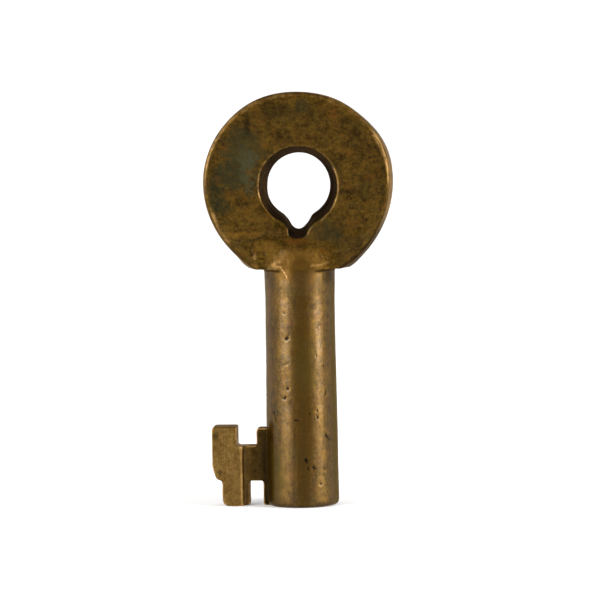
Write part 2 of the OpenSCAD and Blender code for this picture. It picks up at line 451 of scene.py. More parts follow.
above_crease = ramp(z, *ABOVE_CREASE)
off_notch = 1 - ramp(z, *NOTCH_FOOT) * fade(np.abs(x), *NOTCH_SIDES)
neck = above_crease * fade(z, *NECK_TOP) * on_faces * off_notch
soften(body, places, neck, NECK_ROUNDS)
neck_middle = fade(np.abs(x), *MIDDLE_SIDES) * ramp(z, *MIDDLE_LOW) * fade(z, *MIDDLE_HIGH) * on_faces
soften(body, places, neck_middle, MIDDLE_ROUNDS)
notch_mouth = fade(np.abs(np.abs(x) - MOUTH_SIDE), 0.5, 1.4) * fade(np.abs(z - MOUTH_HEIGHT), 0.7, 1.6)
soften(body, places, notch_mouth, MOUTH_ROUNDS)
aside = ramp(np.abs(x), 0.0, 0.4) * fade(np.abs(x), 1.2, 3.0) * near(z - NOTCH_HEIGHT, NOTCH_SPREAD)
places[:, 0] += np.sign(x) * NOTCH_WIDER * aside * ramp(np.abs(y), 0.8, 3.0)
places += ways * (NECK_LUMPS * neck * ripple(places, LUMP_SIZE, 5))[:, None]
unmoved = np.maximum(ramp(x, 0.0, 4.2), ramp(EYE_HEIGHT - z, -0.5, 2.5))
unmoved = unmoved * fade(np.abs(y), 0.8, 1.8)
places[:, 0] += EYE_SHIFT * fade(np.hypot(x, z - EYE_HEIGHT), *SHIFT_FADE) * (1 - unmoved)
move_points(body, places)
print("points softened at the neck:", int((neck > 0.5).sum()))

# %% [markdown]
# ## Years of wear
# No bow stays a true circle: the sides towards the foot are rubbed away, and the front
# rim keeps less of its slope at the top. The barrel is a little thicker at its open
# end. A lattice could bend the whole shape, but here each flat or swelling of the bow
# is a row of the direction it faces, how wide it is, and how far it moves the outline.

# %% Wear the body out of true
DRAFT_LOST, TOP_DRAFT_LOST, DRAFT_BAND = 0.18, 0.55, (10.4, 11.7)
OUTLINE_BAND, OUTLINE_START = (9.0, 11.8), 32.5
BARREL_THINNER, BARREL_THICKER = -0.07, 0.10
THICKER_FADE, THINNER_END = (1, 26), 27
CAST_SWELL, SWELL_SIZE, CAST_GRAIN, GRAIN_SIZE = 0.030, 5.0, 0.006, 0.7
OUTLINE_WEAR = (
    (65, 18, 0.30), (120, 28, -0.27), (230, 26, -0.31), (288, 20, 0.12), (335, 18, 0.11), (25, 12, 0.08),
)

places, ways = points_of(body)
x, y, z = places.T
out = np.hypot(x, z - BOW_HEIGHT)
facing = np.degrees(np.arctan2(x, z - BOW_HEIGHT))
push = DRAFT_LOST + TOP_DRAFT_LOST * ramp(np.cos(np.radians(facing)), -0.1, 0.95) * (y < 0)
push *= ramp(out, *DRAFT_BAND) * np.abs(y) / BOW_HALF
for angle, spread, amount in OUTLINE_WEAR:
    turn = (facing - angle + 180) % 360 - 180
    push += amount * near(turn, spread) * ramp(out, *OUTLINE_BAND)
push *= ramp(z, JOINT_HEIGHT, OUTLINE_START)
swell = BARREL_THINNER + (BARREL_THICKER - BARREL_THINNER) * fade(z, *THICKER_FADE)
swell *= fade(z, THINNER_END, JOINT_HEIGHT) / BARREL_RADIUS
places[:, 0] += x / out * push
places[:, 2] += (z - BOW_HEIGHT) / out * push
places[:, :2] *= 1 + swell[:, None]
cast_skin = CAST_SWELL * ripple(places, SWELL_SIZE, 1) + CAST_GRAIN * ripple(places, GRAIN_SIZE, 2)
places += ways * cast_skin[:, None]
move_points(body, places)
print("outline moved by", push.min().round(2), "to", push.max().round(2), "mm")

# %% [markdown]
# ## The bit's worn corners
# The bit's heel and toe drag along the lock's plates, so both corners are round. The
# solid could have a fillet there, but a worn corner isn't a true arc, so the points
# near each corner are smoothed instead.

# %% Round the bit's outer corners
HEEL, TOE = (-11.5, 0, 3.1), (-10.6, 0, 0.3)
CORNER_REACH, CORNER_ROUNDS = (0.8, 1.5), 40

places, ways = points_of(bit)
flat_places = places * np.array((1, 0, 1))
corners = np.minimum(from_line(flat_places, HEEL, HEEL), from_line(flat_places, TOE, TOE))
soften(bit, places, fade(corners, *CORNER_REACH), CORNER_ROUNDS)
move_points(bit, places)
print("bit corners rounded at", HEEL, "and", TOE)

# %% [markdown]
# ## Pits, dents and scratches
# Years of use left pits in the barrel, dents beside the dome, grooves and scratches.
# They are pressed into the points, so they are there from every side, which a bump in
# the material alone wouldn't give. A pit is a short dash: its place across and along,
# half its length, its lean in degrees, and its radius. A dent has a place, a radius
# and a depth. A groove runs between two spots, with its width, its depth and how much
# dirt it holds.

# %% Where pits, dents and grooves are
def on_barrel(x, z):
    """The point on the barrel's front at this place across and along it."""
    return (x, -math.sqrt(BARREL_RADIUS ** 2 - x ** 2), z)


def on_face(x, z):
    """The point on the bow's front face at this place across and along the key."""
    return (x, -BOW_HALF, z)


BARREL_PITS = (
    (-1.53, 22.15, 0.10, 40, 0.27), (-1.22, 22.62, 0.22, 40, 0.12), (-1.81, 25.44, 0.12, 90, 0.12),
    (-1.36, 26.40, 0.12, 40, 0.11), (-2.16, 28.48, 0.00, 0, 0.12), (3.41, 26.82, 0.10, 40, 0.12),
    (2.89, 23.81, 0.16, 90, 0.13), (2.31, 19.78, 0.08, 0, 0.14), (3.19, 18.37, 0.10, -40, 0.13),
    (-1.49, 15.61, 0.12, -35, 0.15), (-1.88, 14.39, 0.15, 35, 0.19), (2.35, 15.50, 0.00, 0, 0.13),
    (3.37, 14.92, 0.25, 5, 0.12), (-0.45, 11.49, 0.22, 85, 0.14), (2.27, 12.72, 0.15, 0, 0.13),
    (2.32, 11.81, 0.15, -10, 0.15), (1.27, 12.38, 0.05, 0, 0.14), (3.33, 9.39, 0.08, -30, 0.21),
    (3.55, 8.98, 0.25, -27, 0.12), (0.79, 6.27, 0.15, -10, 0.24), (0.99, 5.19, 0.05, 0, 0.23),
    (1.75, 5.30, 0.10, -40, 0.18), (2.15, 5.20, 0.25, 90, 0.11), (3.07, 4.98, 0.08, 90, 0.16),
    (3.00, 4.20, 0.05, 0, 0.14), (2.57, 3.08, 0.06, 0, 0.15), (-1.43, 9.28, 0.00, 0, 0.13),
    (-1.02, 10.65, 0.08, 0, 0.12),
)
FACE_DENTS = (
    (-5.8, 32.9, 0.40, 0.18), (-4.4, 33.0, 0.35, 0.15), (-6.6, 48.4, 0.30, 0.06), (7.2, 40.6, 0.30, 0.05),
)
OLD_GROOVES = (
    (on_barrel(-3.48, 12.44), on_barrel(-3.17, 11.29), 0.16, 0.06, 0.8),
    (on_barrel(-0.57, 10.55), on_barrel(-0.71, 0.40), 0.12, 0.03, 0.6),
    (on_barrel(3.33, 9.39), on_barrel(3.72, 8.62), 0.10, 0.04, 0.8),
    (on_barrel(-2.19, 18.61), on_barrel(-1.31, 18.98), 0.10, 0.01, 0.8),
    (on_face(-3.9, 35.6), on_face(-5.6, 34.8), 0.40, 0.05, 0.6),
    (on_face(-5.6, 34.8), on_face(-6.1, 33.7), 0.32, 0.06, 0.55),
    (on_face(-6.1, 33.7), on_face(-6.0, 32.8), 0.25, 0.06, 0.5),
    (on_face(-10.4, 36.05), on_face(-4.6, 36.35), 0.30, 0.03, 0.4),
    (on_face(-9.6, 38.55), on_face(-6.0, 38.70), 0.20, 0.02, 0.3),
)
print("pits:", len(BARREL_PITS), "dents:", len(FACE_DENTS), "grooves:", len(OLD_GROOVES))

# %% [markdown]
# Dirt sits in the pits and in old grooves, so it is noted for the finish as they are
# pressed in. Noise makes their outlines ragged.

# %% Press pits, dents and grooves in
PIT_DEPTH, PIT_DIRT = 0.16, 7.5
RAGGED_SHARE, RAGGED_SIZE = 0.6, 0.4
FRONT_TILT = -0.2

places, ways = points_of(body)
front = places[ways[:, 1] < FRONT_TILT]
dirty_marks = np.zeros(len(places))
uneven = 1 + RAGGED_SHARE * ripple(places, RAGGED_SIZE, 7, 2)
for across, up, half_long, lean, radius in BARREL_PITS:
    aside, along = half_long * math.sin(math.radians(lean)), half_long * math.cos(math.radians(lean))
    gap = from_line(places, on_barrel(across - aside, up - along), on_barrel(across + aside, up + along))
    hole = near(gap * uneven, radius)
    places -= ways * (PIT_DEPTH * radius * hole)[:, None]
    dirty_marks = np.maximum(dirty_marks, min(1.0, PIT_DIRT * radius) * hole)
for across, up, radius, depth in FACE_DENTS:
    gap = from_line(places, on_face(across, up), on_face(across, up))
    places -= ways * (depth * near(gap, radius))[:, None]
for start, end, width, depth, dirt in OLD_GROOVES:
    hole = near(from_line(places, start, end) * uneven, width)
    places -= ways * (depth * hole)[:, None]
    dirty_marks = np.maximum(dirty_marks, dirt * hole)
print("points in dirty marks:", int((dirty_marks > 0.5).sum()))

# %% [markdown]
# A fresh scratch is bare metal. The rows on the neck are partly fine scratches and rubs, and
# partly painted highlights on the dome's cheeks, laid on as bare metal. They are too shallow
# to press in, so they are only noted. A row runs between two places on the worn front, with
# its width and its amount.

# %% Note scratches, rubs and painted highlights
SCRATCH_WIDTH, SCRATCH_BARE = 0.12, 0.9
FRESH_SCRATCHES = (
    (on_barrel(-2.14, 31.26), on_barrel(-1.85, 30.90)), (on_barrel(-1.85, 30.90), on_barrel(-1.60, 30.52)),
    (on_barrel(-1.60, 30.52), on_barrel(-1.42, 30.20)), (on_barrel(-1.42, 30.20), on_barrel(-1.30, 29.94)),
)
NECK_RUBS_AND_HIGHLIGHTS = (
    ((-2.4, 32.1), (-3.2, 31.6), 0.60, 0.52), ((-1.3, 32.4), (-1.1, 31.7), 0.50, 0.42),
    ((1.8, 31.6), (3.2, 31.7), 0.50, 0.55), ((3.1, 33.0), (3.3, 32.3), 0.10, 0.55),
    ((3.6, 33.1), (3.9, 32.4), 0.10, 0.50), ((-6.2, 32.7), (-5.6, 32.4), 0.30, 0.55),
    ((-2.8, 31.5), (-2.1, 31.4), 0.35, 0.55), ((3.2, 31.8), (4.0, 31.9), 0.45, 0.48),
)


def on_front(x, z):
    """The point of the worn front that is nearest to this place across and along the key."""
    return front[np.argmin(np.hypot(front[:, 0] - x, front[:, 2] - z))]


bare_and_lit_marks = np.zeros(len(places))
for start, end in FRESH_SCRATCHES:
    gap = from_line(places, start, end) * uneven
    bare_and_lit_marks = np.maximum(bare_and_lit_marks, SCRATCH_BARE * near(gap, SCRATCH_WIDTH))
for start, end, width, amount in NECK_RUBS_AND_HIGHLIGHTS:
    gap = from_line(places, on_front(*start), on_front(*end)) * uneven
    bare_and_lit_marks = np.maximum(bare_and_lit_marks, amount * near(gap, width))
print("points in bare marks:", int((bare_and_lit_marks > 0.4).sum()))

# %% [markdown]
# The foot of the bow overhangs the barrel. Its underside has to stay above the joint,
# where the two pieces are parted later, so points that sank below are lifted again.

# %% Keep the foot above the joint
FOOT_LIFT, CREASE_WIDTH, CREASE_SLOPE, CREASE_REACH = 0.03, 0.25, 1.5, 0.5

around = np.hypot(places[:, 0], places[:, 1])
in_crease = np.maximum(BARREL_RADIUS + CREASE_WIDTH - around, 0)
lowest = JOINT_HEIGHT + FOOT_LIFT - CREASE_SLOPE * in_crease
near_joint = np.abs(places[:, 2] - JOINT_HEIGHT) < CREASE_REACH
overhang = (around > BARREL_RADIUS + JOINT_CLEAR) & near_joint
places[overhang, 2] = np.maximum(places[overhang, 2], lowest[overhang])
move_points(body, places)
print("points under the overhang:", int(overhang.sum()))

# %% [markdown]
# ## Where edges shine and hollows stay dark
# Handling polishes the edges, and dirt stays in the hollows. How a point sits among
# its neighbours tells the two apart: on an edge they lie below it, in a hollow above.
# A material can find edges by itself, with the Pointiness value, but the export loses
# that. So both are kept on the points, where every material can read them.

# %% Edge and hollow attributes
BEND_GAIN, BEND_ROUNDS = 8, 3


def keep_bend(piece, voxel, rubbed_and_lit=0.0, dirt_and_shade=0.0, handled=1.0):
    """Stores how far each point stands out of, or lies below, its neighbours."""
    places, ways = points_of(piece)
    bend = -np.einsum("ij,ij->i", neighbour_mean(piece, places) - places, ways) / voxel
    for _ in range(BEND_ROUNDS):
        bend = neighbour_mean(piece, bend)
    # The edge mask also takes painted highlights that are handed in, and the hollow mask painted shade.
    edge = np.maximum(np.clip(bend * BEND_GAIN, 0, 1) * handled * (1 - dirt_and_shade), rubbed_and_lit)
    hollow = np.maximum(np.clip(-bend * BEND_GAIN, 0, 1), dirt_and_shade)
    for name, values in (("edge", edge), ("hollow", hollow)):
        layer = piece.data.attributes.new(name, "FLOAT", "POINT")
        layer.data.foreach_set("value", values.astype(np.float32))
    print(piece.name, "edge mean", edge.mean().round(3), "hollow mean", hollow.mean().round(3))


print("edges are where the bend is above", 1 / BEND_GAIN)

# %% [markdown]
# Nobody wipes the eye's wall, its notch or the bore, so they count as hollows too, and their
# darkness is partly painted shade; the wall's top, which faces down, gets more painted shade.
# The wall's left side, which a finger reaches and light falls on, is painted a little lighter.

# %% What nobody wipes, and painted shade in the eye
WALL_TILT, EYE_REACH, EYE_SIDE = 0.62, 7.3, 5.6
NOTCH_CEILING, NOTCH_SIDE = 38.2, 2.8
BORE_REACH, BORE_TOP = 3.2, 24.4
EYE_DIRT_AND_SHADE, LEFT_WALL_WIPED_AND_LIT, TOP_WALL_SHADE = 0.92, 0.26, 0.08
UNWIPED_AND_SHADED_ROUNDS = 2

places, ways = points_of(body)
x, y, z = places.T
by_eye = (np.hypot(x, z - EYE_HEIGHT) < EYE_REACH) & (np.abs(x) < EYE_SIDE)
in_eye = (np.abs(ways[:, 1]) < WALL_TILT) & by_eye
in_notch = in_eye & (z < NOTCH_CEILING) & (np.abs(x) < NOTCH_SIDE)
in_bore = (np.hypot(x, y) < BORE_REACH) & (z < BORE_TOP)
# Partly painted light: the wall's left side is lighter.
eye_dirt_and_shade = EYE_DIRT_AND_SHADE - LEFT_WALL_WIPED_AND_LIT * ramp(-x, 3.0, 4.4)
# Painted shade: the top of the eye's wall is darker.
eye_dirt_and_shade = eye_dirt_and_shade + TOP_WALL_SHADE * ramp(z - EYE_HEIGHT, 2.5, 3.5)
unwiped_and_shaded = np.maximum(eye_dirt_and_shade * in_eye, (in_notch | in_bore).astype(float))
for _ in range(UNWIPED_AND_SHADED_ROUNDS):
    unwiped_and_shaded = neighbour_mean(body, unwiped_and_shaded)
print("points in the eye:", int(in_eye.sum()), "in the bore:", int(in_bore.sum()))

# %% [markdown]
# The bow's rim is rubbed all over, least at its top. At the low left the rub is wide,
# and the low right is still dirty. A key ring has rubbed both sides of the eye's lip,
# but the lip's low left and the foot beside the barrel are spared.

# %% What hands and the ring rub, with painted highlights and painted shade
RIM_RUB, RIM_SPARED, TOP_SPARED, LIP_SPARED, FOOT_SPARED = 0.66, 0.2, 0.15, 0.7, 0.6
RIM_BAND, RIM_START = (11.5, 12.0), 32
LOW_LEFT_RUB, LOW_LEFT_OUT, LOW_LEFT_WIDTH, LOW_RIGHT_DIRT = 0.52, 11.40, 0.60, 0.62
EYE_LIP, RING_RUB = 5.05, 0.7

out = np.maximum(np.hypot(x, z - BOW_HEIGHT), 0.1)
facing = np.degrees(np.arctan2(x, z - BOW_HEIGHT)) % 360
from_eye = np.hypot(x - EYE_SHIFT, z - EYE_HEIGHT)
from_lip = np.abs(from_eye - EYE_LIP) + np.abs(np.abs(y) - BOW_HALF)
on_rim = ramp(out, *RIM_BAND) * (z > RIM_START)
rim_spared = RIM_SPARED + TOP_SPARED * ramp((z - BOW_HEIGHT) / out, 0.25, 0.70)
handled = 1 - rim_spared * ramp(out, 10.5, 11.5)
handled -= LIP_SPARED * ramp(-x, 0.5, 1.5) * ramp(EYE_HEIGHT - z, 1.0, 2.2) * fade(from_eye, 6.6, 7.4)
handled -= FOOT_SPARED * fade(z, 31.2, 31.7) * ramp(np.abs(x), 3.9, 4.6) * (z > JOINT_HEIGHT)
low_right = ramp(facing, 106, 122) * fade(facing, 155, 170) * ramp(out, 11.2, 11.7)
low_left = LOW_LEFT_RUB * near(out - LOW_LEFT_OUT, LOW_LEFT_WIDTH) * (y < 0)
low_left *= ramp(facing, 214, 236) * fade(facing, 252, 272)
ring_rub = RING_RUB * fade(from_lip, 0.12, 0.40) * ramp(np.abs(x), 4.1, 4.9)
# The neck's painted highlights join the rubs in this mask.
rubbed_and_lit = np.maximum.reduce((RIM_RUB * on_rim * handled, ring_rub, low_left, bare_and_lit_marks))
unwiped_and_shaded *= 1 - ramp(ring_rub, 0.2, 0.6)
# The eye's painted shade joins the dirt in this mask.
dirt_and_shade = np.maximum.reduce((unwiped_and_shaded, dirty_marks, LOW_RIGHT_DIRT * low_right))
keep_bend(body, BODY_VOXEL, rubbed_and_lit * (1 - low_right), dirt_and_shade, handled)

# %% [markdown]
# On the bit, a painted highlight runs along the bevel between its pad and its web, laid on
# as bare metal, and its top edge is spared. A highlight here is the bevel's place across and
# in depth, its width and amount.

# %% Painted highlight on the bit's bevel
STEP_HIGHLIGHTS = (((-7.9, -1.7), 0.25, 0.36), ((-7.68, -0.95), 0.30, 0.50))
STEP_TOP, BIT_TOP_SPARED, BIT_TOP = 8.5, 0.7, (10.0, 10.4)

places, ways = points_of(bit)
step_highlight = np.zeros(len(places))
for spot, width, amount in STEP_HIGHLIGHTS:
    gap = from_line(places, (*spot, 0), (*spot, STEP_TOP))
    step_highlight = np.maximum(step_highlight, amount * near(gap, width))
keep_bend(bit, BIT_VOXEL, rubbed_and_lit=step_highlight, handled=1 - BIT_TOP_SPARED * ramp(places[:, 2], *BIT_TOP))
for piece in (bow_braze, bit_braze):
    keep_bend(piece, BRAZE_VOXEL)

# %% [markdown]
# ## Parting the bow from the barrel
# The two were worn as one skin, so that the metal runs on over the joint without a
# false groove. Now a flat cut at the joint makes them two closed pieces again. A
# Boolean could part them too, but a bisect is quicker and leaves no slivers.

# %% Split the body at the joint
def cut_off(name, keep_above):
    """The part of the body above or below the joint, closed with a flat face."""
    shape = bmesh.new()
    shape.from_mesh(body.data)
    everything = shape.verts[:] + shape.edges[:] + shape.faces[:]
    bmesh.ops.bisect_plane(shape, geom=everything, plane_co=(0, 0, JOINT_HEIGHT), plane_no=(0, 0, 1),
                           clear_inner=keep_above, clear_outer=not keep_above)
    rim = [edge for edge in shape.edges if edge.is_boundary]
    for edge in rim:
        edge.smooth = False
    bmesh.ops.holes_fill(shape, edges=rim)
    piece = placed(name, shape)
    print(name, "has", len(piece.data.polygons), "faces")
    return piece


bow = cut_off("bow", True)
barrel = cut_off("barrel", False)
bpy.data.objects.remove(body)

# %% [markdown]
# ## Handing the pieces over
# Each worn piece stands for one imported solid, so it replaces that node and rides on the
# key's one body. The points go back to metres, which an object's scale could do as well,
# but a scale would stretch the finishes.

# %% Name the pieces and bring them back to metres
PIECES = (
    (bow, "bow", "bow_brass"), (barrel, "barrel", "barrel_brass"), (bit, "bit", "bit_brass"),
    (bow_braze, "bow_braze", "braze"), (bit_braze, "bit_braze", "braze"),
)
for piece, node, slot in PIECES:
    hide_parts(node)
    piece.name = "worn_" + node
    piece.data.transform(Matrix.Scale(MM, 4))
    piece.data.polygons.foreach_set("use_smooth", [True] * len(piece.data.polygons))
    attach(piece, "root")
print("pieces:", [piece.name for piece, node, slot in PIECES])

# %% [markdown]
# ## Finishes that the materials share
# Aged brass is the same story told in different amounts: mottled brown patina, bare
# metal on the edges, grime in the hollows, stains here and there, and fine marks.
# Each of these is a node group, built once, and every material sets its own values.
# Copies of the nodes in each material would look the same, but be hard to change.

# %% Group helpers
def start_group(name, inputs, outputs):
    """An empty shader group with named sockets: its tree, its input and its output node."""
    tree = bpy.data.node_groups.new(name, "ShaderNodeTree")
    for label, kind, value in inputs:
        socket = tree.interface.new_socket(label, in_out="INPUT", socket_type="NodeSocket" + kind)
        socket.default_value = value
    for label, kind in outputs:
        tree.interface.new_socket(label, in_out="OUTPUT", socket_type="NodeSocket" + kind)
    return tree, tree.nodes.new("NodeGroupInput").outputs, tree.nodes.new("NodeGroupOutput").inputs


def cloud(tree, position, scale, detail=4.0, roughness=0.6, distortion=0.0):
    """A cloudy noise value over the surface; scale is in bumps per millimetre."""
    made = put(tree, "TexNoise", {"Vector": position, "Scale": scale, "Detail": detail,
                                  "Roughness": roughness, "Distortion": distortion})
    return made.outputs["Factor" if "Factor" in made.outputs else "Fac"]


def use_group(tree, group, inputs):
    """Places a group in a material and gives back its outputs."""
    return put(tree, "Group", inputs, node_tree=group).outputs


PLACE = ("Position", "Vector", (0, 0, 0))
print("group helpers ready")

# %% [markdown]
# The patina is cloudy at five sizes: wide blotches, a mottle under a millimetre
# across, small dark specks, a finer grit, and a grain that also roughens the surface.
# Where it is thick it turns olive, and where it is thin the brown is redder, so two
# drifts of colour go with it. One noise with many octaves would be simpler, but then
# the sizes couldn't be weighed one by one.

# %% Patina group
MOTTLE_SCALE, GRIT_SCALE, GRAIN_SCALE, DRIFT_SCALE = 1.3, 2.8, 5.0, 0.55
OLIVE_STEPS, RED_STEPS = (0.52, 0.68), (0.46, 0.32)

patina, given, taken = start_group(
    "patina", [PLACE, ("Blotch Scale", "Float", 0.35), ("Speck Scale", "Float", 2.4)],
    [(label, "Float") for label in
     ("Blotches", "Mottle", "Grit", "Specks", "Grain", "Olive Drift", "Red Drift")])
spot = given["Position"]


def patches(scale, detail, roughness, distortion, low, high):
    """Cloudy patches with soft outlines."""
    return steps(patina, cloud(patina, spot, scale, detail, roughness, distortion), low, high)


drift = cloud(patina, spot, DRIFT_SCALE, 5.0, 0.7, 0.4)
for label, value in (
        ("Blotches", patches(given["Blotch Scale"], 6.0, 0.65, 0.5, 0.36, 0.66)),
        ("Mottle", patches(MOTTLE_SCALE, 5.0, 0.75, 0.2, 0.38, 0.62)),
        ("Specks", patches(given["Speck Scale"], 3.0, 0.6, 0.3, 0.60, 0.70)),
        ("Grit", patches(GRIT_SCALE, 3.0, 0.6, 0.2, 0.36, 0.64)),
        ("Grain", cloud(patina, spot, GRAIN_SCALE, 6.0, 0.7)),
        ("Olive Drift", steps(patina, drift, *OLIVE_STEPS)),
        ("Red Drift", steps(patina, drift, *RED_STEPS)),
):
    patina.links.new(value, taken[label])
print("group:", patina.name)

# %% [markdown]
# Edges lose their patina first, but never evenly, so a noise breaks the line up. Grime
# works the other way round and fills what the edge mask leaves alone.

# %% Edge wear and grime groups
WEAR_SCALE, WEAR_LEAST, WEAR_SWING = 0.9, 0.35, 1.1
CRUMB_SCALE, CRUMB_SWING = 2.5, 0.3

# The edge mask also holds painted highlights on the neck and the bit's bevel, which come out bare here.
edge_wear_and_highlights, given, taken = start_group(
    "edge wear and highlights", [PLACE, ("Start", "Float", 0.35), ("Full", "Float", 0.8)], [("Bare And Lit", "Float")])
edge = put(edge_wear_and_highlights, "Attribute", attribute_name="edge").outputs["Fac"]
wear_noise = cloud(edge_wear_and_highlights, given["Position"], WEAR_SCALE, 5.0, 0.75)
broken = math_node(edge_wear_and_highlights, "MULTIPLY", edge, weighed_sum(edge_wear_and_highlights, WEAR_LEAST, (wear_noise, WEAR_SWING)))
edge_wear_and_highlights.links.new(steps(edge_wear_and_highlights, broken, given["Start"], given["Full"]), taken["Bare And Lit"])

# The hollow mask also holds painted shade in the eye, its notch and the bore.
grime_and_shade, given, taken = start_group(
    "grime_and_shade", [PLACE, ("Start", "Float", 0.2), ("Full", "Float", 0.9)], [("Dirt And Shade", "Float")])
hollow = put(grime_and_shade, "Attribute", attribute_name="hollow").outputs["Fac"]
crumb_noise = cloud(grime_and_shade, given["Position"], CRUMB_SCALE, 3.0, 0.6)
crumbs = weighed_sum(grime_and_shade, hollow, (crumb_noise, CRUMB_SWING))
crumbs = math_node(grime_and_shade, "SUBTRACT", crumbs, CRUMB_SWING / 2)
grime_and_shade.links.new(steps(grime_and_shade, crumbs, given["Start"], given["Full"]), taken["Dirt And Shade"])
print("groups:", edge_wear_and_highlights.name, grime_and_shade.name)

# %% [markdown]
# A stain is a soft patch at one place. Dividing the way to its middle by its half
# sizes gives an oval. A wide and a fine noise make its outline ragged, and the fine
# one also breaks up its inside, so that it looks grown and not painted on.

# %% Stain group
WIDE_SCALE, WIDE_SWING, FINE_SCALE, FINE_SWING = 0.6, 1.4, 2.2, 0.6
STAIN_SOLID, STAIN_GONE, GAP_STEPS = 0.5, 1.2, (0.36, 0.58)

stain, given, taken = start_group(
    "stain", [PLACE, ("Middle", "Vector", (0, 0, 0)), ("Half Size", "Vector", (1, 1, 1)),
              ("Ragged", "Float", 0.8), ("Broken", "Float", 0.5)], [("Patch", "Float")])
spot = given["Position"]
from_middle = put(stain, "VectorMath", {0: spot, 1: given["Middle"]}, operation="SUBTRACT").outputs[0]
oval = put(stain, "VectorMath", {0: from_middle, 1: given["Half Size"]}, operation="DIVIDE").outputs[0]
gap = put(stain, "VectorMath", {0: oval}, operation="LENGTH").outputs["Value"]
fine = cloud(stain, spot, FINE_SCALE, 5.0, 0.75)
swing = weighed_sum(stain, -1.0, (cloud(stain, spot, WIDE_SCALE, 5.0, 0.7), WIDE_SWING), (fine, FINE_SWING))
reach = weighed_sum(stain, gap, (swing, given["Ragged"]))
inside = put(stain, "MapRange", {"Value": reach, "From Min": STAIN_SOLID, "From Max": STAIN_GONE,
                                 "To Min": 1.0, "To Max": 0.0}, interpolation_type="SMOOTHSTEP")
gaps = math_node(stain, "MULTIPLY", steps(stain, fine, *GAP_STEPS), given["Broken"])
kept = math_node(stain, "SUBTRACT", 1.0, gaps)
stain.links.new(math_node(stain, "MULTIPLY", inside.outputs["Result"], kept), taken["Patch"])
print("group:", stain.name)

# %% [markdown]
# Files and pockets leave fine marks that run one way. Squeezing the position before
# a noise reads it stretches that noise into lines.

# %% Marks group
LINE_STEPS = (0.3, 0.7)

marks, given, taken = start_group("marks", [PLACE, ("Squeeze", "Vector", (4, 4, 0.3))], [("Lines", "Float")])
sides = {0: given["Position"], 1: given["Squeeze"]}
squeezed = put(marks, "VectorMath", sides, operation="MULTIPLY").outputs[0]
marks.links.new(steps(marks, cloud(marks, squeezed, 1.0, 4.0, 0.65), *LINE_STEPS), taken["Lines"])
print("group:", marks.name)

# %% [markdown]
# ## Aged brass
# One recipe makes all the finishes. Its colour starts from the patina's two browns,
# which the olive and red drifts and the dark specks go over, and then come the stains.
# Under a stain the metal is duller, so the recipe also keeps how much of it is stained.

# %% Colours of the recipe
OLIVE_DRIFT, RED_DRIFT = srgb(66, 56, 18), srgb(88, 55, 14)
OLIVE_SHARE, RED_SHARE, SPECK_SHARE = 0.4, 0.6, 0.4
PATINA_START, PATINA_LINES = -0.3, 0.35
PATINA_WEIGHTS = (("Blotches", 0.4), ("Mottle", 0.45), ("Grit", 0.35))


def patina_colour(tree, cloudy, lines, dark, light, specks):
    """The mottled brown of aged brass, before stains, wear and grime."""
    weights = [(cloudy[label], weight) for label, weight in PATINA_WEIGHTS]
    colour = tint(tree, weighed_sum(tree, PATINA_START, *weights, (lines, PATINA_LINES)), dark, light)
    for label, share, over in (("Olive Drift", OLIVE_SHARE, OLIVE_DRIFT),
                               ("Red Drift", RED_SHARE, RED_DRIFT), ("Specks", SPECK_SHARE, specks)):
        colour = tint(tree, math_node(tree, "MULTIPLY", cloudy[label], share), colour, over)
    return colour


def stained(tree, position, colour, stains):
    """The colour with stains over it, and how stained it is at each place."""
    covered = 0.0
    for stain_colour, middle, half_size, ragged, gaps, strength in stains:
        patch = use_group(tree, stain, {**position, "Middle": middle, "Half Size": half_size,
                                        "Ragged": ragged, "Broken": gaps})
        amount = math_node(tree, "MULTIPLY", patch["Patch"], strength)
        colour = tint(tree, amount, colour, stain_colour)
        covered = math_node(tree, "MAXIMUM", covered, amount)
    return colour, covered


print("patina weights:", PATINA_WEIGHTS)

# %% [markdown]
# Then the recipe wears the edges bare and fills the hollows with grime, which is a
# little less metallic. Where the metal is dull it is rougher and has lost the thin film
# of polish that the rest has. The film is the shader's coat, which costs less than a
# second shader mixed over the first.

# %% Brass recipe
BARE_AND_LIT_BRASS, GRIME_AND_SHADE_BROWN = srgb(184, 142, 86), srgb(7, 4, 1)
EDGE_TINT, POLISH_ROUGHNESS = (0.70, 0.54, 0.34, 1), 0.20
BARE_SHARE, STAIN_DULLS, GRIME_UNMETAL = 0.85, 0.9, 0.12
GRAIN_ROUGHENS, DULL_ROUGHENS, BARE_SMOOTHS = 0.16, 0.2, 0.06
LINE_HEIGHT, MOTTLE_HEIGHT = 0.35, 0.5


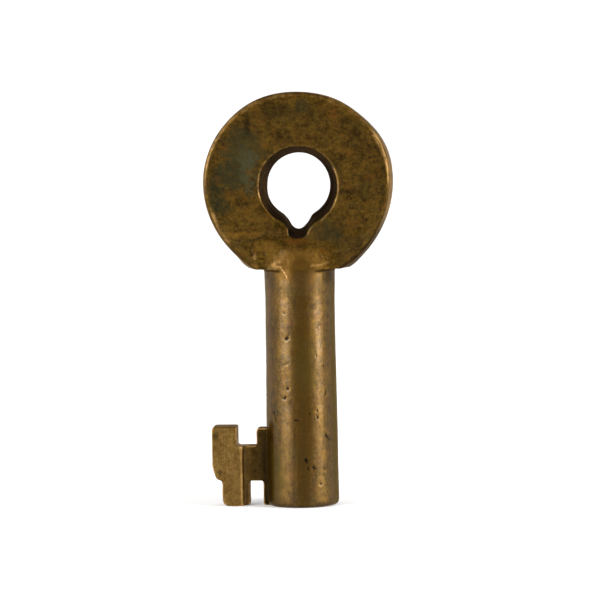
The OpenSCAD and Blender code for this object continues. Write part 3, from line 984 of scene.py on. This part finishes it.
def aged_brass(name, dark, light, specks, stains, line_squeeze, roughness, polish, wear, dirt_and_shade_share,
               grain_depth):
    """A brass material; stains are rows of colour, middle, half size, ragged, broken and strength."""
    material = bpy.data.materials.new(name)
    material.use_nodes = True
    tree = material.node_tree
    shader = tree.nodes["Principled BSDF"]
    place = put(tree, "VectorMath", {0: put(tree, "TexCoord").outputs["Object"]}, operation="SCALE")
    place.inputs["Scale"].default_value = PER_MM
    position = {"Position": place.outputs[0]}
    cloudy = use_group(tree, patina, position)
    lines = use_group(tree, marks, {**position, "Squeeze": line_squeeze})["Lines"]
    colour = patina_colour(tree, cloudy, lines, dark, light, specks)
    colour, dull = stained(tree, position, colour, stains)
    bare_and_lit = use_group(tree, edge_wear_and_highlights, {**position, "Start": wear[0], "Full": wear[1]})["Bare And Lit"]
    dirt = math_node(tree, "MULTIPLY", use_group(tree, grime_and_shade, position)["Dirt And Shade"], dirt_and_shade_share)
    # Bare brass here is also the colour of the painted highlights on the neck and the bit's bevel.
    colour = tint(tree, math_node(tree, "MULTIPLY", bare_and_lit, BARE_SHARE), colour, BARE_AND_LIT_BRASS)
    # Grime brown here is also the colour of the painted shade in the eye, its notch and the bore.
    colour = tint(tree, dirt, colour, GRIME_AND_SHADE_BROWN)
    dull = math_node(tree, "MAXIMUM", math_node(tree, "MULTIPLY", dull, STAIN_DULLS), dirt)
    rough = weighed_sum(tree, roughness - GRAIN_ROUGHENS / 2, (cloudy["Grain"], GRAIN_ROUGHENS),
                        (dull, DULL_ROUGHENS), (bare_and_lit, -BARE_SMOOTHS))
    film = weighed_sum(tree, polish, (dull, -polish))
    height = weighed_sum(tree, cloudy["Grain"], (lines, LINE_HEIGHT), (cloudy["Mottle"], MOTTLE_HEIGHT))
    bump = put(tree, "Bump", {"Height": height, "Distance": grain_depth * MM})
    metal = weighed_sum(tree, 1.0, (dirt, -GRIME_UNMETAL))
    for socket, value in (("Base Color", colour), ("Metallic", metal), ("Roughness", rough),
                          ("Coat Weight", film), ("Normal", bump.outputs["Normal"])):
        tree.links.new(value, shader.inputs[socket])
    shader.inputs["Specular Tint"].default_value = EDGE_TINT
    shader.inputs["Coat Roughness"].default_value = POLISH_ROUGHNESS
    print("material:", name, "with", len(tree.nodes), "nodes")
    return material


print("recipe ready")

# %% [markdown]
# The bow has the most to show: a wide bloom of green-grey on the left of its front,
# dark spots near the top and the left rim, and a lighter, redder brown on the dome,
# where the thumb rubs. Nobody has seen the back, so it gets a few stains of the kind.

# %% Bow finish
GREEN_GREY, DARK_SPOT, TEAL_DARK = srgb(62, 61, 42), srgb(40, 32, 13), srgb(44, 42, 24)
RED_BROWN, THUMB_BROWN, OCHRE = srgb(84, 50, 18), srgb(105, 76, 32), srgb(108, 76, 26)
SPRUCE, NECK_DARK_REFLECTION = srgb(34, 35, 20), srgb(66, 46, 13)
FRONT, BACK = -BOW_HALF, BOW_HALF

NECK_STAINS = (
    (THUMB_BROWN, (0.0, -4.2, 31.6), (4.4, 2.5, 2.7), 0.6, 0.3, 0.8),
    # A painted dark reflection runs down the middle of the dome and the barrel's top.
    (NECK_DARK_REFLECTION, (0.5, -4.5, 30.9), (1.6, 2.0, 2.2), 0.7, 0.3, 0.85),
)
BOW_STAINS = (
    (TEAL_DARK, (-6.9, FRONT, 46.3), (2.9, 3.0, 3.9), 1.6, 0.35, 0.9),
    (TEAL_DARK, (-8.2, FRONT, 43.0), (2.6, 3.0, 2.1), 1.6, 0.35, 0.85),
    (GREEN_GREY, (-6.2, FRONT, 44.6), (1.2, 3.0, 2.9), 2.4, 0.6, 0.95),
    (SPRUCE, (-10.5, FRONT, 41.0), (1.1, 3.0, 2.9), 1.4, 0.4, 0.9),
    (SPRUCE, (-9.5, FRONT, 39.2), (1.1, 3.0, 1.2), 1.3, 0.4, 0.8),
    (GRIME_AND_SHADE_BROWN, (-6.2, FRONT, 49.8), (0.5, 3.0, 1.7), 0.9, 0.4, 0.6),
    (DARK_SPOT, (-1.6, FRONT, 51.4), (3.4, 3.0, 1.1), 1.6, 0.5, 0.7),
    (SPRUCE, (0.8, FRONT, 52.2), (0.9, 3.0, 1.0), 2.0, 0.4, 0.9),
    (TEAL_DARK, (3.6, FRONT, 35.6), (2.6, 3.0, 1.4), 2.0, 0.5, 0.8),
    (DARK_SPOT, (5.6, FRONT, 35.2), (2.6, 3.0, 1.5), 1.6, 0.5, 0.5),
    (OCHRE, (-6.6, FRONT, 35.5), (3.2, 3.0, 0.5), 0.8, 0.5, 0.6),
    (OCHRE, (-3.6, FRONT, 34.0), (1.6, 3.0, 0.8), 1.0, 0.5, 0.6),
    *NECK_STAINS,
    (RED_BROWN, (0.0, -3.7, 34.7), (2.0, 1.6, 0.5), 1.0, 0.4, 0.7),
    (GREEN_GREY, (5.0, BACK, 46.0), (3.4, 2.6, 4.2), 1.4, 0.6, 0.8),
    (DARK_SPOT, (-4.0, BACK, 50.0), (3.0, 2.6, 1.6), 1.5, 0.5, 0.7),
    (THUMB_BROWN, (0.0, 4.2, 32.2), (4.6, 2.4, 2.3), 0.6, 0.3, 0.8),
)
bow_finish = aged_brass(
    "bow brass", srgb(41, 28, 4), srgb(85, 62, 18), srgb(28, 18, 2), BOW_STAINS,
    line_squeeze=(0.9, 2.0, 2.4), roughness=0.42, polish=0.10, wear=(0.30, 0.75), dirt_and_shade_share=1.0,
    grain_depth=0.04)

# %% [markdown]
# The barrel is handled more and is smoother, with marks along it. A dull brown band is
# painted down its middle, and on up the dome, as a painted dark reflection of the room in
# front. Its flanks are olive, and the bow's thumb-worn brown runs on over the joint. It is
# painted darker under the bow's foot, as shade under the overhang.

# %% Barrel finish
OLIVE, BARREL_DARK_REFLECTION = srgb(74, 62, 22), srgb(68, 47, 8)

BARREL_STAINS = (
    # Painted dark reflection down the barrel's front middle.
    (BARREL_DARK_REFLECTION, (0.5, -4.6, 14.0), (1.5, 1.5, 22.0), 0.5, 0.3, 1.0),
    (OLIVE, (-4.7, 0.0, 15.0), (0.9, 4.0, 30.0), 0.4, 0.2, 0.75),
    (OLIVE, (4.7, 0.0, 15.0), (0.9, 4.0, 30.0), 0.4, 0.2, 0.95),
    # Painted shade under the bow's foot, on both sides of the barrel.
    (DARK_SPOT, (3.9, -2.4, 30.2), (1.1, 2.0, 1.3), 0.6, 0.2, 0.7),
    (DARK_SPOT, (-4.2, -1.9, 30.4), (0.6, 2.0, 0.9), 0.6, 0.2, 0.5),
    (OLIVE, (0.9, -4.5, 18.5), (1.6, 2.0, 4.0), 1.2, 0.5, 0.5),
    (OLIVE, (-3.3, -2.8, 4.5), (1.6, 2.5, 4.5), 1.2, 0.4, 0.7),
    *NECK_STAINS,
)
barrel_finish = aged_brass(
    "barrel brass", srgb(58, 40, 3), srgb(96, 69, 17), srgb(50, 33, 4), BARREL_STAINS,
    line_squeeze=(2.6, 2.6, 0.35), roughness=0.35, polish=0.45, wear=(0.35, 0.85), dirt_and_shade_share=0.95,
    grain_depth=0.010)

# %% [markdown]
# The bit was filed, so its marks run up and down. Its web is painted darker towards the
# barrel, as shade beside it, and its top and the walls of its upper cut are painted darker as
# shade too. The brazing metal lies in creases that nobody cleans, apart from the middle of the
# one under the bow, where it is wiped.

# %% Bit and braze finishes
WEB_SHADE_BROWN, ROOT_SHADE_BROWN, WIPED_BRAZE = srgb(41, 28, 7), srgb(24, 17, 5), srgb(132, 98, 44)

BIT_STAINS = (
    (OCHRE, (-6.7, 0.0, 5.2), (0.7, 3.0, 16.0), 0.5, 0.3, 0.45),
    # Painted shade on the web towards the barrel, on the bit's top and on the upper cut's walls:
    (WEB_SHADE_BROWN, (-5.0, 0.0, 5.2), (2.6, 3.0, 16.0), 0.3, 0.2, 0.95),
    (ROOT_SHADE_BROWN, (-4.3, 0.0, 5.2), (1.2, 3.0, 16.0), 0.3, 0.2, 0.8),
    (WEB_SHADE_BROWN, (-9.5, 0.0, 10.8), (4.5, 3.0, 0.6), 0.3, 0.2, 0.85),
    (WEB_SHADE_BROWN, (-8.2, 0.6, 9.3), (0.4, 2.2, 1.5), 0.3, 0.2, 0.8),
    (DARK_SPOT, (-11.2, -1.8, 9.2), (0.5, 1.0, 0.6), 1.0, 0.3, 0.8),
    (DARK_SPOT, (-10.7, -1.8, 4.5), (0.35, 1.0, 0.35), 1.0, 0.3, 0.6),
)
BRAZE_STAINS = ((WIPED_BRAZE, (0.0, 0.0, JOINT_HEIGHT), (3.8, 6.0, 1.5), 0.3, 0.2, 0.9),)
bit_finish = aged_brass(
    "bit brass", srgb(90, 67, 27), srgb(126, 97, 49), srgb(66, 47, 16), BIT_STAINS,
    line_squeeze=(4.5, 4.5, 0.25), roughness=0.40, polish=0.10, wear=(0.18, 0.55), dirt_and_shade_share=0.12,
    grain_depth=0.03)
braze_finish = aged_brass(
    "braze", srgb(36, 25, 8), srgb(58, 42, 16), srgb(30, 20, 6), BRAZE_STAINS,
    line_squeeze=(1.5, 1.5, 1.5), roughness=0.55, polish=0.05, wear=(0.6, 1.2), dirt_and_shade_share=0.4,
    grain_depth=0.03)
FINISHES = (bow_finish, barrel_finish, bit_finish, braze_finish, braze_finish)
for (piece, node, slot), finish in zip(PIECES, FINISHES):
    piece.data.materials.append(finish)
print("finishes given to", len(PIECES), "pieces")
